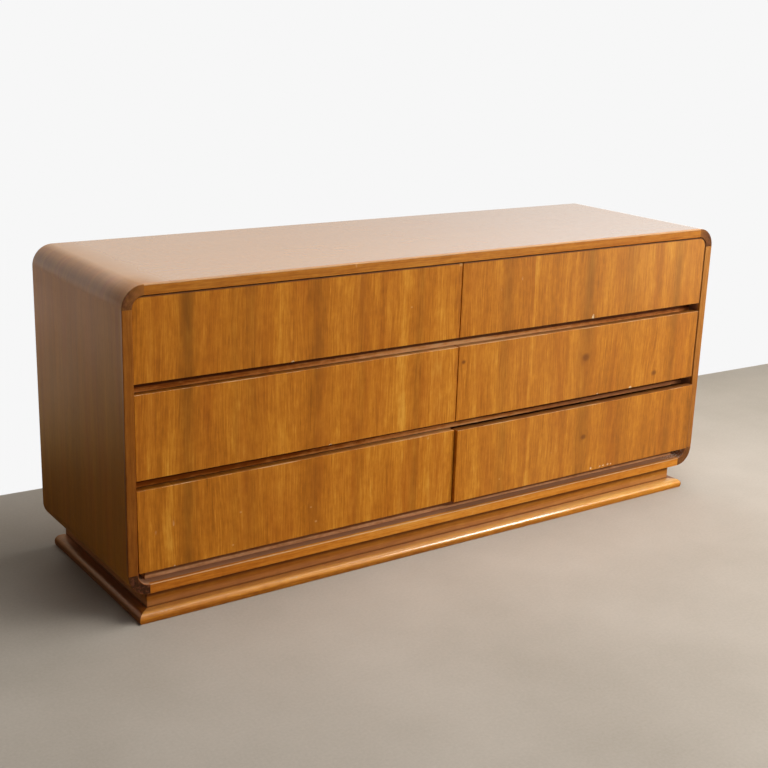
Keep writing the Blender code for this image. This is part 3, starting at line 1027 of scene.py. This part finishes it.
def slab(name, outline, front, back, ease, grain, material, top_rub=1.0):
    """A board with eased edges, its top rubbed by top_rub. Outline gives its (x, z) points at an inset."""
    reach = min(WEAR_REACH, (back - front) / 4)
    steps = [(ease + reach, front, 0.0)]
    steps += [(inset, front + depth, 1.0) for inset, depth in eased(ease)]
    steps.append((0.0, front + ease + reach, 0.0))
    steps += [(inset, front + back - depth, worn) for inset, depth, worn in reversed(steps)]
    rings = [[(x, depth, z) for x, z in outline(inset)] for inset, depth, _ in steps]
    levels = [z for _, z in outline(0.0)]
    rub_at = {max(levels): top_rub, min(levels): FOOT_RUB}
    edges = [[worn * rub_at.get(level, UPRIGHT_RUB) for level in levels] for _, _, worn in steps]
    return loft(name, rings, edges, grain, [material])


def board(node, grain, material):
    """A square board of the case with eased edges, in the place of its node."""
    low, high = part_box(node)

    def outline(inset):
        return rounded_outline(low, high, [SQUARE_CORNER] * 4, inset)

    piece = slab(f"{node}_eased", outline, low.y, high.y, BOARD_EASE, grain, material)
    store_level(piece, [(vert.co.z - low.z) / (high.z - low.z) for vert in piece.data.vertices])
    settle(piece, node, "case")


def chip(piece, across, above, width, height, seed, bare):
    """Break a small flake out of a front at, or just above, its lower front edge."""
    low = Vector(piece.bound_box[0])
    draw = random.Random(seed)
    shape = bmesh.new()
    bmesh.ops.create_icosphere(shape, subdivisions=2, radius=1.0)
    for vert in shape.verts:
        vert.co *= draw.uniform(*CHIP_ROUGHNESS)
        vert.co = Vector((vert.co.x * width / 2, vert.co.y * CHIP_DEPTH, vert.co.z * height))
        vert.co += Vector((across, low.y, low.z + above))
    mesh = bpy.data.meshes.new("flake")
    shape.to_mesh(mesh)
    shape.free()
    mesh.materials.append(bare)
    cutter = placed("flake", mesh)
    taken = piece.modifiers.new("chip", "BOOLEAN")
    taken.operation = "DIFFERENCE"
    taken.solver = "EXACT"
    taken.material_mode = "TRANSFER"
    taken.object = cutter
    whole = piece.evaluated_get(bpy.context.evaluated_depsgraph_get())
    mesh = bpy.data.meshes.new_from_object(whole)
    edges = piece.data.attributes["edge"].data
    worn = {tuple(vert.co): edge.value for vert, edge in zip(piece.data.vertices, edges)}
    for vert, edge in zip(mesh.vertices, mesh.attributes["edge"].data):
        off = max(vert.co.z - low.z, vert.co.y - low.y) - FRONT_EASE
        edge.value = worn.get(tuple(vert.co), CHIP_WEAR * min(max(1 - off / WEAR_REACH, 0), 1))
    piece.modifiers.remove(taken)
    piece.data = mesh
    bpy.data.objects.remove(cutter)


def drawn_left(points, low, high, top_reach, foot_reach):
    """Stretch the outline of a front to the left, by its reach at the top and at the foot."""
    drawn = []
    for x, z in points:
        reach = foot_reach + (top_reach - foot_reach) * (z - low.z) / (high.z - low.z)
        drawn.append((x - reach * (high.x - x) / (high.x - low.x), z))
    return drawn


def make_front(row, side, finishes):
    """One drawer front, with its chips."""
    drawer = f"{row}_{side}_drawer"
    node = f"{drawer}_front"
    low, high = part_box(node)
    radii = [SQUARE_CORNER] * 4
    if row == "top":
        radii[3 if side == "left" else 2] = front_corner()
    reach = LEFT_REACH[row] if side == "left" else (0.0, 0.0)

    def outline(inset):
        return drawn_left(rounded_outline(low, high, radii, inset), low, high, *reach)

    rub = TOP_ROW_RUB if row == "top" else 1.0
    piece = slab(f"{node}_veneered", outline, low.y, high.y, FRONT_EASE, upright, finishes["front"], rub)
    for index, (chipped, *sizes) in enumerate(CHIPS):
        if chipped == drawer:
            chip(piece, *sizes, index, finishes["bare"])
    settle(piece, node, drawer)


def make_fronts(finishes):
    for row in ROWS:
        for side in SIDES:
            make_front(row, side, finishes)


class Band:
    """The path of the band round the case, and the sections of its pieces."""

    def __init__(self):
        self.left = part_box("left_side_panel")[0].x
        self.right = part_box("right_side_panel")[1].x
        self.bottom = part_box("bottom_panel")[0].z
        self.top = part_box("top_panel")[1].z
        self.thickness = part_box("top_panel")[1].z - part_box("top_panel")[0].z
        corner_low, corner_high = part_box("top_left_corner")
        self.radius = corner_high.x - corner_low.x
        self.front = corner_low.y
        self.back = corner_high.y

    def stations(self, name):
        """Points on the outer face of a piece, with the way out and the length run from its start."""
        left, right = self.left + self.radius, self.right - self.radius
        bottom, top = self.bottom + self.radius, self.top - self.radius
        if name in CORNERS:
            centre_x = left if "left" in name else right
            centre_z = top if "top" in name else bottom
            quarter = self.radius * math.pi / 2
            made = []
            for step in range(CORNER_STEPS + 1):
                share = step / CORNER_STEPS
                angle = math.radians(CORNERS[name][0] - 90 * share)
                out = (math.cos(angle), math.sin(angle))
                place = (centre_x + self.radius * out[0], centre_z + self.radius * out[1])
                made.append((place, out, quarter * share))
            return made
        start, end, out = {
            "top": ((left, self.top), (right, self.top), (0, 1)),
            "bottom": ((left, self.bottom), (right, self.bottom), (0, -1)),
            "left_side": ((self.left, bottom), (self.left, top), (-1, 0)),
            "right_side": ((self.right, bottom), (self.right, top), (1, 0)),
        }[name]
        return [(start, out, 0.0), (end, out, math.dist(start, end))]

    def front_edge(self, outer_rub, inner_rub):
        """The eased front of a section: (depth, inward, worn) points from the outer face to the inner one."""
        outer, inner, reach = BAND_OUTER_EASE, BAND_INNER_EASE, WEAR_REACH
        front, far = self.front, self.thickness
        points = [(front + outer + reach, 0.0, 0.0)]
        points += [(front + depth, inward, outer_rub) for depth, inward in eased(outer)]
        points += [(front, outer + reach, 0.0), (front, far - inner - reach, 0.0)]
        points += [(front + depth, far - outward, inner_rub) for outward, depth in eased(inner)]
        points.append((front + inner + reach, far, 0.0))
        return points

    def back_edge(self):
        """The rebated back of a section, from the inner face to the outer one."""
        step_y = self.back - REBATE_DEPTH
        lip = self.thickness - REBATE_WIDTH
        points = [(step_y, self.thickness, 0.0), (step_y, lip, 0.0), (self.back, lip, 0.0)]
        points += [(self.back - depth, inward, 1.0) for inward, depth in eased(BAND_INNER_EASE)]
        points.append((self.back - BAND_INNER_EASE - WEAR_REACH, 0.0, 0.0))
        return points

    def piece(self, name, stations, section, materials, choose=None):
        """One piece of the band: its section carried along its stations."""
        rings = []
        runs = {}
        for (x, z), out, run in stations:
            ring = []
            for depth, inward, _ in section:
                point = Vector((x - out[0] * inward, depth, z - out[1] * inward))
                runs[tuple(round(value, 6) for value in point)] = (depth, run, inward)
                ring.append(point)
            rings.append(ring)
        edges = [[worn for _, _, worn in section]] * len(rings)

        def grain(point):
            return runs[tuple(round(value, 6) for value in point)]

        return loft(name, rings, edges, grain, materials, choose)


def make_band(finishes):
    """The four panels, their lippings and the four corner blocks."""
    band = Band()
    for name, (_, _, _, rubs) in LIPPINGS.items():
        stations = band.stations(name)
        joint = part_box(f"{name}_lipping")[1].y
        section = band.front_edge(*rubs) + [(joint, band.thickness, 0.0), (joint, 0.0, 0.0)]
        lipping = band.piece(f"{name}_lipping_eased", stations, section, [finishes[f"{name}_lip"]])
        settle(lipping, f"{name}_lipping", "case")
        section = [(joint, 0.0, 0.0), (joint, band.thickness, 0.0)] + band.back_edge()
        panel = band.piece(f"{name}_panel_veneered", stations, section, [finishes["case"]])
        settle(panel, f"{name}_panel", "case")
    for name, (_, *rubs) in CORNERS.items():
        corner = band.piece(
            f"{name}_veneered",
            band.stations(name),
            band.front_edge(*rubs) + band.back_edge(),
            [finishes["case"], finishes["end"]],
            lambda normal: 1 if abs(normal.y) > END_FACING else 0,
        )
        across = [vert.co.x for vert in corner.data.vertices]
        inner, outer = sorted((min(across), max(across)), key=abs)
        store_level(corner, [(outer - x) / (outer - inner) for x in across])
        settle(corner, name, "case")


def make_rails(finishes):
    """The rails behind the finger gaps."""
    board("upper_rail", lengthways, finishes["rail"])
    board("lower_rail", lengthways, finishes["rail"])
    board("bottom_rail", lengthways, finishes["bottom_rail"])


def moulding_section(height, projection):
    """The moulding's (out, up, worn) points, from the foot of the plinth over the nose and back under."""
    nose = MOULDING_NOSE_HEIGHT
    crown_reach = projection - MOULDING_TOP_FLAT
    foot_centre = projection - MOULDING_FOOT_TUCK
    groove = MOULDING_GROOVE
    points = [(JOINT_GAP, 0.0, 0.0), (JOINT_GAP, height - groove, 0.0), (JOINT_GAP + groove, height, 0.0)]
    for step in range(MOULDING_STEPS + 1):
        angle = math.pi / 2 * (1 - step / MOULDING_STEPS)
        out = MOULDING_TOP_FLAT + crown_reach * math.cos(angle)
        points.append((out, nose + (height - nose) * math.sin(angle), math.sin(2 * angle)))
    for step in range(1, MOULDING_STEPS + 1):
        angle = -math.pi / 2 * step / MOULDING_STEPS
        out = foot_centre + MOULDING_FOOT_TUCK * math.cos(angle)
        points.append((out, nose + nose * math.sin(angle), 0.0))
    return points


def make_base(finishes):
    """The plinth boards and the mitred moulding round their foot."""
    board("plinth_front", lengthways, finishes["plinth"])
    for side in SIDES:
        board(f"plinth_{side}", front_to_back, finishes["plinth"])
    plinth_low, plinth_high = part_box("plinth_front")
    moulding_low, moulding_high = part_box("base_moulding_front")
    section = moulding_section(moulding_high.z, plinth_low.y - moulding_low.y)
    edges = [[worn for _, _, worn in section]] * 2
    mitre = plinth_high.x - JOINT_GAP
    rings = [[(side * (mitre + out), plinth_low.y - out, up) for out, up, _ in section] for side in (-1, 1)]
    front = loft("base_moulding_front_turned", rings, edges, lengthways, [finishes["moulding"]])
    settle(front, "base_moulding_front", "case")
    for name, side in (("left", -1), ("right", 1)):
        node = f"base_moulding_{name}"
        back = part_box(node)[1].y
        rings = [
            [(side * (plinth_high.x + out), plinth_low.y - out, up) for out, up, _ in section],
            [(side * (plinth_high.x + out), back, up) for out, up, _ in section],
        ]
        piece = loft(f"{node}_turned", rings, edges, front_to_back, [finishes["side_moulding"]])
        settle(piece, node, "case")


def dress(node, material):
    """Keep a node's own shape, with its edges eased and a finish of its own."""
    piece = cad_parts[node]
    piece.data.materials.clear()
    piece.data.materials.append(material)
    weld = piece.modifiers.new("joined", "WELD")
    weld.merge_threshold = 0.00001
    flat = piece.modifiers.new("flat_faces", "DECIMATE")
    flat.decimate_type = "DISSOLVE"
    flat.angle_limit = math.radians(1)
    ease = piece.modifiers.new("eased", "BEVEL")
    ease.width = INSIDE_EASE
    ease.segments = 2
    ease.limit_method = "ANGLE"
    ease.angle_limit = SHARP_TURN
    ease.harden_normals = True


def make_insides(finishes):
    """The drawer boxes, runners, partition and back, which keep their nodes' shapes."""
    for row in ROWS:
        for side in SIDES:
            drawer = f"{row}_{side}_drawer"
            dress(f"{row}_{side}_runner", finishes["box_y"])
            dress(f"{drawer}_left_side", finishes["box_y"])
            dress(f"{drawer}_right_side", finishes["box_y"])
            dress(f"{drawer}_back", finishes["box_x"])
            dress(f"{drawer}_bottom", finishes["inner_x"])
    dress("back_panel", finishes["inner_x"])
    dress("plinth_back", finishes["inner_x"])
    dress("centre_partition", finishes["inner_z"])


bpy.context.scene.view_settings.view_transform = "Standard"
make_camera()
make_lamps()
make_world()
make_stage()
all_finishes = make_finishes()
make_band(all_finishes)
make_fronts(all_finishes)
make_rails(all_finishes)
make_base(all_finishes)
make_insides(all_finishes)
